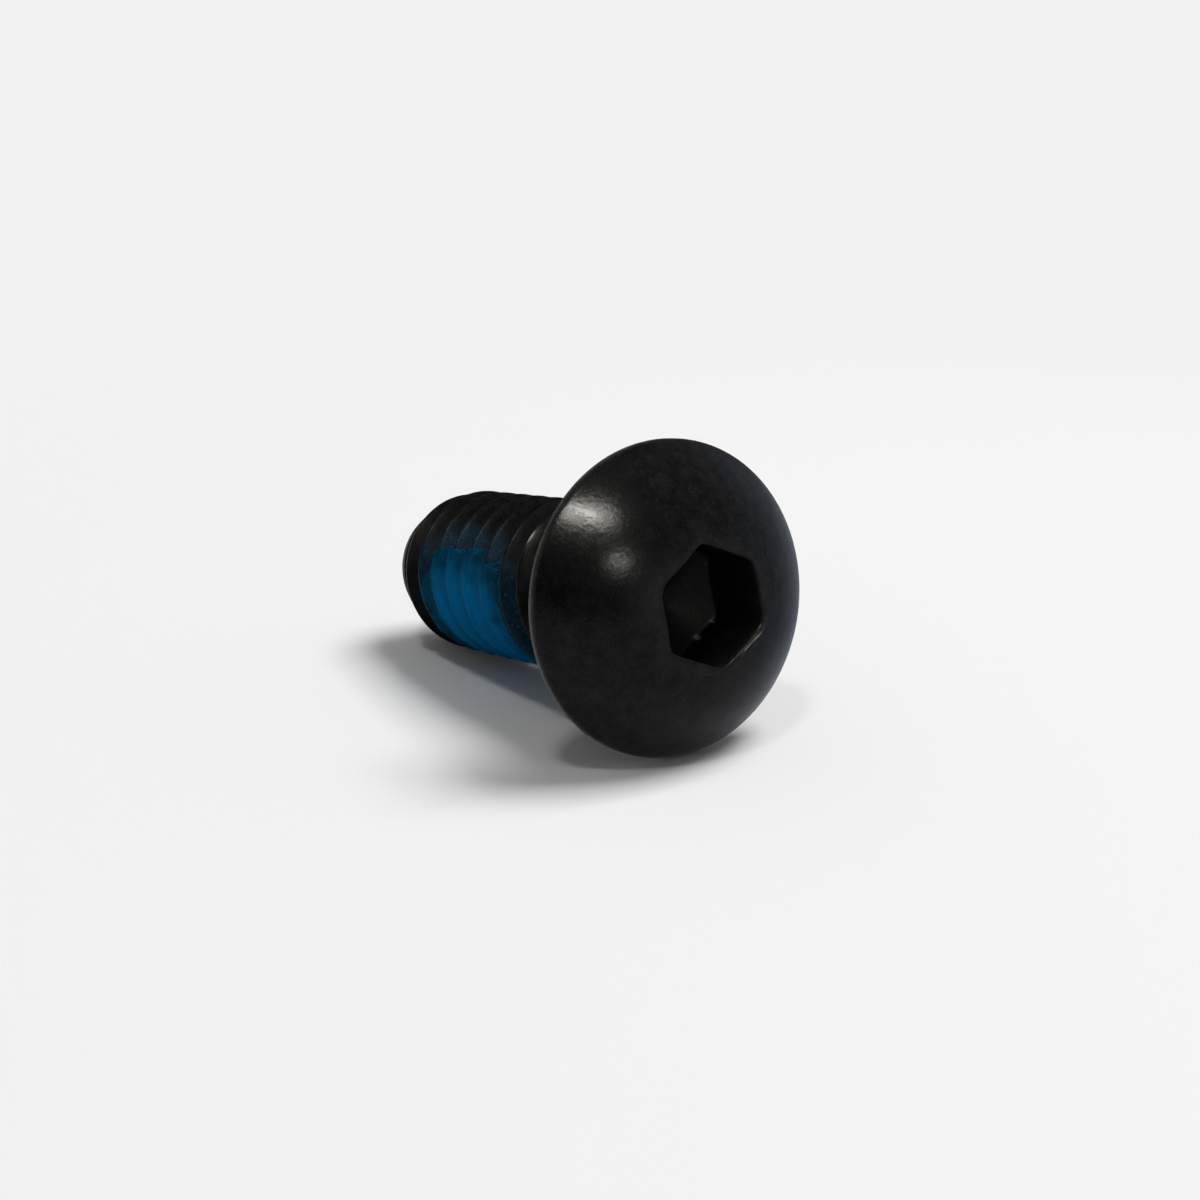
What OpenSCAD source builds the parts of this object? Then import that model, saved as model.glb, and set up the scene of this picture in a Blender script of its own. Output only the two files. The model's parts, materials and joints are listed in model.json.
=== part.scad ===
// Quarter-inch button head screw with a hexagon socket, a right-hand thread and a nylon locking patch.
// The pieces are drawn upright, with the head's bearing face at z = 0, its crown above and the shank
// below. lay_down() then rests them on the rim of the head and on the thread, as a loose screw lies.

/* [Head] */
// Diameter of the head at its rim
head_d = 11.0; // [9:0.1:16]
// Height of the crown above the bearing face, as if there were no socket
head_h = 3.2; // [3.1:0.05:4.5]
// Height of the straight band round the rim
rim_h = 0.3; // [0.2:0.05:0.6]
// Rounding of the lower edge of the rim
rim_edge_r = 0.1; // [0.04:0.01:0.15]

/* [Socket] */
// Width of the hexagon across its flats
socket_af = 3.97; // [2.5:0.01:4.4]
// Depth of the hexagon's walls below the crown
socket_depth = 3.0; // [1.6:0.05:3.1]
// Included angle of the cone that ends the socket
socket_cone_angle = 130; // [110:5:170]
// Turn of the hexagon round the axis of the screw
socket_turn = 5.9; // [0:0.1:60]

/* [Shank] */
// Length from the bearing face to the tip
shank_l = 15.6; // [14:0.1:50]
// Length of the plain neck between the head and the thread
neck_l = 1.9; // [1.4:0.1:2.4]
// Radius of the fillet between the neck and the bearing face
neck_fillet_r = 0.3; // [0.15:0.05:0.6]

/* [Thread] */
// Diameter over the crests
thread_d = 6.27; // [5.8:0.01:6.8]
// Distance from one crest to the next
pitch = 1.27; // [0.8:0.01:1.4]
// Length over which the thread fades into the neck
runout_l = 1.3; // [0.5:0.1:2.5]
// Length of the tapered point
point_l = 2.1; // [0.5:0.1:3]
// Diameter of the flat end of the point
point_d = 4.6; // [3.5:0.05:4.6]
// Turn of the thread round the axis of the screw
thread_turn = 105; // [0:5:355]

/* [Locking patch] */
// Distance from the tip to the start of the patch
patch_gap = 3.0; // [3:0.1:5]
// Length of the patch along the shank
patch_l = 7.0; // [3:0.1:8]
// Arc of the circumference that the patch covers
patch_span = 130; // [60:5:200]
// Middle of the patch round the axis, from the side of the screw that lies lowest
patch_turn = -43; // [-180:1:180]
// Thickness of the nylon over the crests
patch_film = 0.06; // [0.04:0.01:0.12]
// How far the nylon in the grooves lies below the crests
patch_dip = 0.14; // [0:0.01:0.3]
// Thickness of the nylon at its feathered edge
patch_edge = 0.03; // [0.02:0.005:0.04]
// Distance over which the nylon builds up from its edge
patch_taper = 1.2; // [0.4:0.1:2]

/* [Hidden] */

// The crown is part of a sphere that meets the top of the rim band.
head_r = head_d / 2;
crown_rise = head_h - rim_h;
crown_r = (crown_rise * crown_rise + head_r * head_r) / (2 * crown_rise);
function crown_z(r) = head_h - crown_r + sqrt(crown_r * crown_r - r * r);

socket_corner_r = socket_af / 2 / cos(30);
socket_floor_z = head_h - socket_depth;
socket_cone_h = socket_corner_r / tan(socket_cone_angle / 2);

// Sixty-degree thread: the crests are an eighth of the pitch wide, the grooves 17/24 of the sharp V
// deep, and the neck has the diameter of the wire that the thread is rolled from.
crest_r = thread_d / 2;
thread_depth = 17 / 24 * pitch * cos(30);
groove_r = crest_r - thread_depth;
flank_w = thread_depth * tan(30);
crest_w = pitch / 8;
groove_w = pitch - crest_w - 2 * flank_w;
neck_r = crest_r - 0.32 * pitch;
point_r = point_d / 2;
// Height of the cone that seats the top of the thread inside the neck
seat_h = 0.3;
// How far a cutter starts above the crown
clear_h = 1;

// The thread's surface is a grid. Columns run up the shank and rows follow the helix, and four rows
// make a turn: the lower and the upper edge of the groove, then the lower and the upper of the crest.
columns = 36;
turn_rows = 4;
row_rise = [0, groove_w, groove_w + flank_w, groove_w + flank_w + crest_w];
// The crest's middle passes the tip's plane in column 0, and the first row starts two turns below.
first_z = -shank_l - 2 * pitch - (row_rise[2] + row_rise[3]) / 2;
rows = turn_rows * (ceil((shank_l - neck_l) / pitch) + 5);

function is_crest(row) = row % turn_rows > 1;
function helix_z(row, col) =
    first_z + pitch * (floor(row / turn_rows) + col / columns) + row_rise[row % turn_rows];
function thread_z(row, col) = max(-shank_l, min(-neck_l, helix_z(row, col)));
// Share of the thread's depth at height z: all of it on the shank, none where it meets the neck.
function depth_share(z) = max(0, min(1, (-neck_l - z) / runout_l));
function point_limit(z) = point_r + (z + shank_l) * (crest_r - point_r) / point_l;
function full_r(row) = is_crest(row) ? crest_r : groove_r;
// The flats of the thread's last ring touch the round neck from outside.
neck_ring_r = neck_r / cos(180 / columns);
function thread_r(row, z) =
    z <= -shank_l
        ? point_r
        : min(point_limit(z), neck_ring_r + (full_r(row) - neck_ring_r) * depth_share(z));
function polar(r, col, z) = [r * cos(360 * col / columns), r * sin(360 * col / columns), z];
// The last row of the grid is the ring inside the neck.
function thread_point(row, col) =
    row == rows - 1
        ? polar(neck_r - seat_h, col, seat_h - neck_l)
        : polar(thread_r(row, thread_z(row, col)), col, thread_z(row, col));

// Two triangles for one cell of a grid, without those that shrink to a line.
function cell(points, a, b, c, d) = [
    for (t = [[a, c, b], [a, d, c]])
        if (points[t[0]] != points[t[1]] && points[t[1]] != points[t[2]] && points[t[2]] != points[t[0]])
            t
];

// First cell and number of cells of the thread's grid that the patch covers, each way.
patch_col = round((patch_turn - patch_span / 2 - thread_turn) / 360 * columns);
patch_cols = round(patch_span / 360 * columns);
patch_row = ceil(turn_rows * ((patch_gap - shank_l - first_z) / pitch - patch_col / columns));
patch_rows = round(turn_rows * patch_l / pitch);
column_w = 2 * PI * crest_r / columns;
row_w = pitch / turn_rows;

// How far the nylon has built up at a corner of the patch's grid: 0 at its edge, 1 in its middle.
function build_up(row, col) =
    let (
        in_cols = min(col, patch_cols - col) * column_w,
        in_rows = min(row, patch_rows - row) * row_w,
        share = min(1, min(in_cols, in_rows) / patch_taper)
    )
    share * share * (3 - 2 * share);
function patch_point(row, col) =
    let (
        thread_row = patch_row + row,
        z = thread_z(thread_row, patch_col + col),
        inner_r = thread_r(thread_row, z),
        full = crest_r + (is_crest(thread_row) ? patch_film : -patch_dip),
        outer_r = inner_r + patch_edge + max(0, full - inner_r - patch_edge) * build_up(row, col)
    )
    polar(outer_r, patch_col + col, z);

// Lying down, the screw touches the floor with the rounded edge of its rim and with the first full
// crest above its point.
lie_reach = shank_l - point_l + rim_edge_r;
lie_drop = head_r - rim_edge_r - crest_r;
lie_angle = atan2(lie_drop, lie_reach) + asin(rim_edge_r / norm([lie_drop, lie_reach]));
axis_z = (head_r - rim_edge_r) * cos(lie_angle) + rim_edge_r * (1 - sin(lie_angle));
// Furthest points ahead of and behind the bearing face's centre: the socket's mouth and the tip.
front_x = crown_z(socket_corner_r) * cos(lie_angle) + socket_corner_r * sin(lie_angle);
back_x = -shank_l * cos(lie_angle) - point_r * sin(lie_angle);
axis_x = -(front_x + back_x) / 2;
echo(lie_angle = lie_angle, axis_x = axis_x, axis_z = axis_z, crown_r = crown_r, groove_r = groove_r);

module lay_down() {
    translate([axis_x, 0, axis_z]) rotate([0, 90 - lie_angle, 0]) children();
}

// Half of the outline of the head and neck: crown, rim band, bearing face, fillet and neck.
module head_outline() {
    intersection() {
        translate([0, head_h - crown_r]) circle(crown_r, $fn = 180);
        union() {
            translate([0, rim_edge_r]) square([head_r, head_h]);
            square([head_r - rim_edge_r, head_h]);
            translate([head_r - rim_edge_r, rim_edge_r]) circle(rim_edge_r, $fn = 32);
        }
    }
    translate([0, -neck_l]) square([neck_r, neck_l + rim_h]);
    difference() {
        translate([0, -neck_fillet_r]) square([neck_r + neck_fillet_r, neck_fillet_r + rim_h]);
        translate([neck_r + neck_fillet_r, -neck_fillet_r]) circle(neck_fillet_r, $fn = 48);
    }
}

module head_and_neck() {
    rotate_extrude($fn = 180) intersection() {
        head_outline();
        translate([0, -neck_l]) square([head_r, neck_l + head_h]);
    }
}

// Helical thread with its tapered point and run-out, closed by a flat disc at each end.
module threaded_shank() {
    points = [for (col = [0:columns - 1], row = [0:rows - 1]) thread_point(row, col)];
    // Past the last column the grid joins the first one, a turn further up.
    function at(row, col) =
        col < columns ? col * rows + row : row == rows - 1 ? row : min(row + turn_rows, rows - 2);
    sides = [
        for (col = [0:columns - 1], row = [0:rows - 2])
            each cell(points, at(row, col), at(row, col + 1), at(row + 1, col + 1), at(row + 1, col))
    ];
    tip = [for (col = [0:columns - 1]) at(0, col)];
    top = [for (col = [columns - 1:-1:0]) at(rows - 1, col)];
    rotate([0, 0, thread_turn]) polyhedron(points, concat(sides, [tip, top]), convexity = 12);
}

// Hexagonal hole whose floor is a cone, as the punch leaves it.
module socket() {
    rotate([0, 0, socket_turn]) {
        translate([0, 0, socket_floor_z])
            cylinder(h = socket_depth + clear_h, r = socket_corner_r, $fn = 6);
        translate([0, 0, socket_floor_z - socket_cone_h]) intersection() {
            cylinder(h = 2 * socket_cone_h, r = socket_corner_r, $fn = 6);
            cylinder(h = 2 * socket_cone_h, r1 = 0, r2 = 2 * socket_corner_r, $fn = 96);
        }
    }
}

module screw() {
    color("#2f2f32") lay_down() difference() {
        union() {
            head_and_neck();
            threaded_shank();
        }
        socket();
    }
}

// Nylon fused over the thread. Its inner face is the thread's own surface, cell by cell.
module locking_patch() {
    side = patch_rows + 1;
    inner = [
        for (col = [0:patch_cols], row = [0:patch_rows]) thread_point(patch_row + row, patch_col + col)
    ];
    outer = [for (col = [0:patch_cols], row = [0:patch_rows]) patch_point(row, col)];
    points = concat(inner, outer);
    lift = len(inner);
    function at(row, col) = col * side + row;
    faces = [
        for (col = [0:patch_cols - 1], row = [0:patch_rows - 1])
            let (
                f = cell(points, at(row, col), at(row, col + 1), at(row + 1, col + 1), at(row + 1, col))
            )
            each concat([for (t = f) [t[2], t[1], t[0]]], [for (t = f) t + [lift, lift, lift]])
    ];
    // The rim of the grid, anticlockwise seen from outside, and the wall along it
    edge = concat(
        [for (col = [0:patch_cols - 1]) at(0, col)],
        [for (row = [0:patch_rows - 1]) at(row, patch_cols)],
        [for (col = [patch_cols:-1:1]) at(patch_rows, col)],
        [for (row = [patch_rows:-1:1]) at(row, 0)]
    );
    wall = [
        for (n = [0:len(edge) - 1])
            let (a = edge[n], b = edge[(n + 1) % len(edge)])
            each [[a, b + lift, b], [a, a + lift, b + lift]]
    ];
    color("#0f7fc6") lay_down() rotate([0, 0, thread_turn])
        polyhedron(points, concat(faces, wall), convexity = 12);
}

screw();
locking_patch();
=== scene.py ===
"""Dresses the packed button head screw: a finely threaded steel body, its nylon locking patch, and the
floor, lamps and camera round them. Every length is in metres and every place comes from the frame."""

import json
import math

import bpy
import numpy as np
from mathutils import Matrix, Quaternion, Vector


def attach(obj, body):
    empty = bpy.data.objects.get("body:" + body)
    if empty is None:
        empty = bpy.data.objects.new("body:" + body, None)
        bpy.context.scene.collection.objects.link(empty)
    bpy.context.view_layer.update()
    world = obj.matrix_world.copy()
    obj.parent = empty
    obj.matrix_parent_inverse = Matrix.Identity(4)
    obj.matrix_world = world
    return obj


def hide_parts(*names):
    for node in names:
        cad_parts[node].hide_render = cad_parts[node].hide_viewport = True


bl_info = {
    "name": "Button head screw",
    "version": (1, 0, 0),
    "blender": (4, 5, 0),
    "location": "3D View > Sidebar > Screw",
    "description": "Makes a button head screw with a nylon locking patch, its floor, lamps and camera",
    "category": "Object",
}

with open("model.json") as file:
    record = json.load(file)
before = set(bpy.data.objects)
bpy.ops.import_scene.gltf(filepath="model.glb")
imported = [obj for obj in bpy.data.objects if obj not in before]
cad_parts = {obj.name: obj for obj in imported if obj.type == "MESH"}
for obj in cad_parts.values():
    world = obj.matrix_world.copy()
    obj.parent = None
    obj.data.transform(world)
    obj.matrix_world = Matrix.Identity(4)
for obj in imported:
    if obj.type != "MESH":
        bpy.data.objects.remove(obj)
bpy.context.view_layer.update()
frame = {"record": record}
MOUNTS = {mount["name"]: mount for mount in frame["record"]["mounts"]}

MM = 0.001
TURN = 2 * math.pi
COLUMNS = 192  # round the screw; a multiple of six, so that the hexagon's corners fall on columns
PATCH_COLUMNS = 150
CLOSE = 0.01 * MM  # points nearer than this to a ring are taken into it
SHARP = math.radians(38)  # edges that bend more than this aren't smoothed
COS30 = math.cos(math.radians(30))
TAN30 = math.tan(math.radians(30))


def length(name, description, millimetres):
    """A length property whose default is given in millimetres."""
    return bpy.props.FloatProperty(
        name=name, description=description, default=millimetres * MM, min=0.0,
        unit="LENGTH", subtype="DISTANCE", precision=5,
    )


def angle(name, description, degrees):
    """An angle property whose default is given in degrees."""
    return bpy.props.FloatProperty(
        name=name, description=description, default=math.radians(degrees), subtype="ANGLE", unit="ROTATION"
    )


def colour(name, description, rgb):
    """A colour property in linear light."""
    return bpy.props.FloatVectorProperty(
        name=name, description=description, default=rgb, min=0.0, max=1.0, size=3, subtype="COLOR"
    )


class HeadSizes(bpy.types.PropertyGroup):
    """Sizes of the head and its hexagon socket."""

    diameter: length("Head diameter", "Across the rim of the head", 10.99)
    height: length("Head height", "From the bearing face to the crown, as if there were no socket", 3.2)
    rim_height: length("Rim height", "Straight band round the rim", 0.3)
    rim_edge: length("Rim edge", "Rounding of the rim's lower edge", 0.1)
    crown_edge: length("Crown edge", "Rounding where the crown meets the rim band", 0.1)
    socket_width: length("Socket width", "Across the flats, as the mouth looks; its key has 3.97 mm", 3.80)
    socket_depth: length("Socket depth", "From the crown to the end of the hexagon's walls", 3.0)
    socket_angle: angle("Socket end angle", "Included angle of the cone at the bottom of the socket", 130)
    socket_turn: angle("Socket turn", "Turn of the hexagon round the screw", 5.9)
    mouth_edge: length("Mouth edge", "Rounding of the edge of the socket", 0.1)


class ShankSizes(bpy.types.PropertyGroup):
    """Sizes of the neck, thread and point."""

    length: length("Shank length", "From the bearing face to the tip", 15.6)
    neck_length: length("Neck length", "Plain neck under the head", 1.9)
    neck_fillet: length("Neck fillet", "Fillet between the neck and the head", 0.3)
    thread_diameter: length("Thread diameter", "Over the crests", 6.26)
    pitch: length("Pitch", "From one crest to the next", 1.27)
    crest_edge: length("Crest edge", "Rounding of each crest's two edges", 0.13)
    runout: length("Run-out", "Length over which the thread fades into the neck", 1.3)
    point_length: length("Point length", "Tapered end of the thread", 2.1)
    point_diameter: length("Point diameter", "Across the flat end", 4.6)
    end_edge: length("End edge", "Rounding of the edge of the flat end", 0.15)
    end_cup: length("End cup", "Depth of the shallow cup that rolling leaves in the end", 0.12)
    thread_turn: angle("Thread turn", "Turn of the thread round the screw", 105)
    # Painted glint: a bright spot on one crest near the neck, painted into the steel's colour as a highlight
    glint_turn: angle("Rubbed spot turn", "Where a crest is rubbed bright, round the screw", -134)
    glint_height: length("Rubbed spot height", "From the tip to the rubbed spot", 10.6)


class PatchSizes(bpy.types.PropertyGroup):
    """Sizes of the nylon locking patch."""

    gap: length("Patch gap", "From the tip to the start of the patch", 2.6)
    length: length("Patch length", "Along the shank", 7.2)
    span: angle("Patch span", "Arc that the patch covers", 155)
    turn: angle("Patch turn", "Middle of the patch from the screw's lowest side", -51)
    corner: length("Patch corner", "Radius of the patch's rounded corners", 2.8)
    film: length("Film", "Thickness of the nylon over the crests", 0.05)
    dip: length("Dip", "How far the nylon dips over the grooves", 0.12)
    feather: length("Feather", "Width of the edge over which the nylon thins out", 0.8)
    ragged: length("Ragged edge", "How far the edge wanders in and out", 0.25)
    fade: length("Fade", "Width of the edge over which the colour deepens", 1.9)
    dusting: length("Dusting", "How far stray nylon reaches over the steel round the patch", 0.8)


class FinishColours(bpy.types.PropertyGroup):
    """Colours of the finishes, in linear light."""

    oxide: colour("Black oxide", "Main colour of the blackened steel", (0.0006, 0.0006, 0.0006))
    oxide_light: colour("Grey oxide", "Thinner, greyer patches of the oxide", (0.0072, 0.0070, 0.0070))
    # Worn colour: rubbing on the crests and corners, and painted highlights on the rim's line, the socket's
    # lip and foot and one crest
    worn_and_glint: colour("Worn edges", "Rubbed crests and corners", (0.082, 0.079, 0.073))
    # Painted glint colour: pale steel grey for the brightest painted glints, on one crest and the socket's
    # lip and foot, with a trace on the rim
    painted_glint: colour("Bare steel", "Where an edge is rubbed through to the steel", (0.36, 0.35, 0.31))
    nylon: colour("Nylon", "Main colour of the patch", (0.0008, 0.115, 0.285))
    nylon_thin: colour("Thin nylon", "Where the steel shows through the patch", (0.0012, 0.032, 0.060))
    nylon_dust: colour("Nylon dust", "Loose grains at the edge of the patch", (0.05, 0.22, 0.33))
    backdrop: colour("Backdrop", "Floor and surroundings", (0.888, 0.888, 0.888))
    mirrored_floor: colour("Mirrored floor", "Floor in front of the screw, as mirrored", (0.60, 0.60, 0.62))
    mirrored_back: colour("Mirrored back", "Floor and wall behind the screw, as mirrored", (0.28, 0.31, 0.38))
    room: colour("Room", "Ceiling that the steel mirrors", (0.26, 0.26, 0.25))
    mirrored_end: colour("Mirrored end", "Room beyond the screw's tip, as mirrored", (0.10, 0.10, 0.11))
    dark_side: colour("Dark side", "The camera's side of the room, as mirrored", (0.05, 0.05, 0.05))


class StageSettings(bpy.types.PropertyGroup):
    """Where the camera stands and how bright the lamps are."""

    camera_place: bpy.props.FloatVectorProperty(
        name="Camera place", description="Where the camera stands", size=3, subtype="TRANSLATION",
        unit="LENGTH", default=(64.639 * MM, -39.616 * MM, 27.739 * MM),
    )
    camera_aim: bpy.props.FloatVectorProperty(
        name="Camera aim", description="Direction in which the camera looks", size=3, subtype="DIRECTION",
        default=(-0.78554, 0.49738, -0.36816),
    )
    focal_length: bpy.props.FloatProperty(
        name="Focal length", description="Of the lens, in millimetres, on a 36 mm sensor", default=64.327
    )
    shift: bpy.props.FloatProperty(
        name="Lens shift", description="Upward shift of the frame, as a share of its width", default=0.125
    )
    room_side: bpy.props.FloatVectorProperty(
        name="Room side", description="Direction of the dark side of the room", size=3, subtype="DIRECTION",
        default=(0.483, -0.837, 0.259),
    )
    floor_albedo: bpy.props.FloatProperty(
        name="Floor brightness", description="Share of the light that the floor gives back", default=0.83,
        min=0.0, max=1.0, subtype="FACTOR",
    )
    lamp_level: bpy.props.FloatProperty(
        name="Lamp level", description="Scales every lamp", default=1.0, min=0.0, soft_max=4.0,
        subtype="FACTOR",
    )
    fill_level: bpy.props.FloatProperty(
        name="Fill level", description="Soft light from all round", default=0.22, min=0.0, subtype="FACTOR"
    )


# ---------------------------------------------------------------- numbers and curves


def ease(t):
    """Smooth step: 3t squared less 2t cubed, held between 0 and 1."""
    t = np.clip(t, 0, 1)
    return t * t * (3 - 2 * t)


def soft_min(a, b, width):
    """The smaller of a and b. Where they are closer than a width, it is less by (width − |a − b|) squared
    over four widths, which rounds the corner between them."""
    near = np.maximum(width - np.abs(a - b), 0)
    return np.minimum(a, b) - near * near / (4 * width)


def ripple(x, y, size):
    """Smooth wandering, mostly from −1 to 1: the sum of six plane waves over 3.2. Each is turned by 2.4
    radians, shifted by 1.9 and shortened by 0.11 of the size from the one before."""
    total = 0.0
    for k in range(6):
        way, wave = 2.4 * k + 0.7, TURN / (size * (1.0 - 0.11 * k))
        total = total + np.sin(wave * (x * math.cos(way) + y * math.sin(way)) + 1.9 * k)
    return total / 3.2


def bells(theta, spots):
    """The sum of bell curves round the screw. A spot is the middle and the width of its bell, in degrees, and
    its height."""
    return sum(
        peak * np.exp(-(((theta - math.radians(middle)) / math.radians(width)) ** 2))
        for middle, width, peak in spots
    )


def bend(start, corner, end, count):
    """Points on a quadratic curve that leaves start towards corner and comes to end from it. Each is a
    (radius, height) pair of arrays."""
    rings = []
    for t in np.linspace(0, 1, count):
        a, b, c = (1 - t) ** 2, 2 * t * (1 - t), t * t
        rings.append(tuple(a * start[i] + b * corner[i] + c * end[i] for i in (0, 1)))
    return rings


def place(radius, theta, height):
    """Points at a radius and angle round the screw's axis and a height above the bearing face, as the screw
    lies: the origin is the bearing face's centre, and angle 0 is the side nearest the floor."""
    seat = MOUNTS["bearing_face"]
    axis = -np.array(seat["axis"], float)
    axis /= np.linalg.norm(axis)
    across = np.array([0.0, 1.0, 0.0])
    down = np.cross(across, axis)
    x, y = radius * np.cos(theta), radius * np.sin(theta)
    return (
        np.array(seat["pos_m"], float)
        + x[..., None] * down + y[..., None] * across + np.asarray(height)[..., None] * axis
    )


# ---------------------------------------------------------------- the head

WIRE_DROP = 0.32  # from the crests down to the wire that the thread is rolled from, in pitches
CORNER_CUT = 0.05 * MM  # how far the hexagon's corners stop short of their sharp points
CORNER_ROUND = 0.12 * MM  # closeness to that limit at which the rounding starts
FOOT = 0.1 * MM  # rounding where the socket's walls meet the cone
HALO = 0.4 * MM  # reach of the faint wear round the socket's mouth
EDGE_DROP = 0.8  # how far the crown's edge bends down the rim band, as a share of its reach inwards
FAINT_WEAR = 0.1
# painted highlight: the bright line along the rim band
RIM_HIGHLIGHT = 1.05

# Marks on the head, for bells(): a rounder corner and a dent, which are shape, and painted glints on the lip
# and at the foot of the socket
BLUNT_CORNER = [(246, 18, 0.08 * MM)]  # one corner of the socket is rounder than the rest
DENT = [(60, 12, 1.1)]  # the lip is wider here, as a share of the mouth's edge
LIP_GLINTS = [(52, 11, 1.4), (36, 7, 1.2)]  # painted glint: a bright catch-light on one side of the socket's lip
FOOT_GLINTS = [(36, 4, 1.8), (59, 3, 1.4)]  # painted glints: two bright catch-lights where the socket's walls meet the cone


def crown_height(head, radius):
    """Height of the crown: part of a sphere through the top of the head and the rim band's upper edge."""
    rise, half = head.height - head.rim_height, head.diameter / 2
    sphere = (rise * rise + half * half) / (2 * rise)
    return head.height - sphere + np.sqrt(np.maximum(sphere * sphere - radius * radius, 0))


def neck_radius(shank):
    """The neck has the diameter of the wire that the thread is rolled from."""
    return shank.thread_diameter / 2 - WIRE_DROP * shank.pitch


def head_rings(head, shank, theta):
    """Rings from the bottom of the socket over the crown and rim to the end of the neck, as radii, heights
    and a value for wear and painted glints, with the numbers of the first ring of the crown and of the
    bearing face. The hexagon's radius is half its width over the cosine of the angle from the nearest
    flat's middle, with its corners rounded by a limit on that radius. Its cone rises from the apex in
    proportion to the radius."""
    flat = np.mod(theta - head.socket_turn, TURN / 6) - TURN / 12
    corner = head.socket_width / 2 / COS30
    limit = corner - CORNER_CUT - bells(theta, BLUNT_CORNER)
    hexagon = soft_min(head.socket_width / 2 / np.cos(flat), limit, CORNER_ROUND)
    slope = 1 / math.tan(head.socket_angle / 2)
    apex = head.height - head.socket_depth - corner * slope
    edge, half = head.rim_edge, head.diameter / 2
    rings = []

    def add(pairs, wear_and_glint=0.0):
        for (radius, height), rub_and_glint in zip(pairs, np.broadcast_to(wear_and_glint, (len(pairs), len(theta)))):
            rings.append((radius + 0 * theta, height + 0 * theta, rub_and_glint))

    # The cone, the bend at the foot of the walls, the walls, and the lip round the mouth
    inner, floor = hexagon - FOOT, apex + hexagon * slope
    add([(inner * t, apex + inner * t * slope) for t in np.linspace(0.06, 0.96, 12)])
    # Faint wear at the foot of the walls, and painted glints there
    add(bend((inner, apex + inner * slope), (hexagon, floor), (hexagon, floor + FOOT), 5),
        FAINT_WEAR + bells(theta, FOOT_GLINTS))
    lip = head.mouth_edge * (1 + bells(theta, DENT))
    low, high = floor + FOOT, crown_height(head, hexagon) - lip
    add([(hexagon, low + (high - low) * t) for t in np.linspace(0.1, 0.9, 7)])
    outer = hexagon + lip
    outward = np.linspace(0, 1, 7)[:, None]
    # Faint wear on the lip, and a painted glint on one side of it that grows towards the crown
    add(bend((hexagon, high), (hexagon, crown_height(head, hexagon)), (outer, crown_height(head, outer)), 7),
        FAINT_WEAR + outward ** 3 * bells(theta, LIP_GLINTS))
    mouth = len(rings)

    # The crown and its edge, and the rim band with its rounded lower edge; a painted highlight runs as a
    # bright line along the crown's edge, the band and the rounded edge
    rim, band = half - head.crown_edge, head.rim_height - head.crown_edge * EDGE_DROP
    for t in np.linspace(0.02, 0.99, 58):
        radius = outer + (rim - outer) * t
        add([(radius, crown_height(head, radius))], FAINT_WEAR * np.exp(-((radius - outer) / HALO) ** 2))
    add(bend((rim, crown_height(head, rim)), (half, head.rim_height), (half, band), 6),
        np.linspace(0, 0.9, 6)[:, None] ** 2)
    add([(half, (edge + band) / 2)], RIM_HIGHLIGHT)
    for turn in np.linspace(0, TURN / 4, 6):
        add([(half - edge + edge * math.cos(turn), edge - edge * math.sin(turn))], math.cos(turn) ** 2)

    # The bearing face, the fillet and the neck
    neck, fillet, collar = neck_radius(shank), shank.neck_fillet, len(rings)
    add([(half - edge + (neck + fillet - half + edge) * t, 0.0) for t in np.linspace(0.1, 0.92, 8)])
    for turn in np.linspace(0, TURN / 4, 8):
        add([(neck + fillet - fillet * math.sin(turn), fillet * math.cos(turn) - fillet)])
    add([(neck, -fillet + (fillet - shank.neck_length) * t) for t in np.linspace(0.25, 1, 4)])
    radii, heights, wear_and_glint = zip(*rings)
    return np.array(radii), np.array(heights), np.array(wear_and_glint), mouth, collar


# ---------------------------------------------------------------- the thread

POINT_BLEND = 0.06 * MM  # rounding where the thread runs into the cone of the point
END_BAND = 0.25 * MM  # height above the tip at which the thread's rows give way to level rings
CREST_WEAR = 0.04
# The painted glint on one crest: its peak, and its reach round the screw and across the crest
PAINTED_GLINT = 1.9
GLINT_LENGTH = math.radians(7)  # how far the painted glint reaches round the screw
GLINT_WIDTH = 0.09 * MM  # and across the crest


def tooth(shank):
    """One thread tooth as (phase, height above the root): a crest an eighth of the pitch wide with rounded
    edges, flanks at sixty degrees, and a round root that touches both flanks."""
    pitch = shank.pitch
    depth = 17 / 24 * pitch * COS30
    crest = pitch / 16
    root = pitch / 2 - crest - depth * TAN30
    cut = shank.crest_edge * TAN30
    down = np.radians([90, 70, 50, 30])
    edge_x = crest - cut + shank.crest_edge * np.cos(down)
    edge_y = depth - shank.crest_edge + shank.crest_edge * np.sin(down)
    round_r = math.sqrt(3) * root
    up = np.radians([-150, -130, -110, -90])
    root_x, root_y = pitch / 2 + round_r * np.cos(up), round_r + round_r * np.sin(up)
    share = np.array([1 / 3, 2 / 3])
    flank_x = edge_x[-1] + (root_x[0] - edge_x[-1]) * share
    flank_y = edge_y[-1] + (root_y[0] - edge_y[-1]) * share
    x = np.concatenate([[0], edge_x, flank_x, root_x]) / pitch
    y = np.concatenate([[depth], edge_y, flank_y, root_y])
    return np.concatenate([x, 1 - x[-2:0:-1]]), np.concatenate([y, y[-2:0:-1]])


def phase(shank, theta, height):
    """Where a point stands between two crests: 0 on a crest, a half at the root. A crest passes the tip's
    plane at the thread's turn and climbs one pitch a turn."""
    return np.mod((height + shank.length) / shank.pitch - (theta - shank.thread_turn) / TURN, 1)


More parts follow.
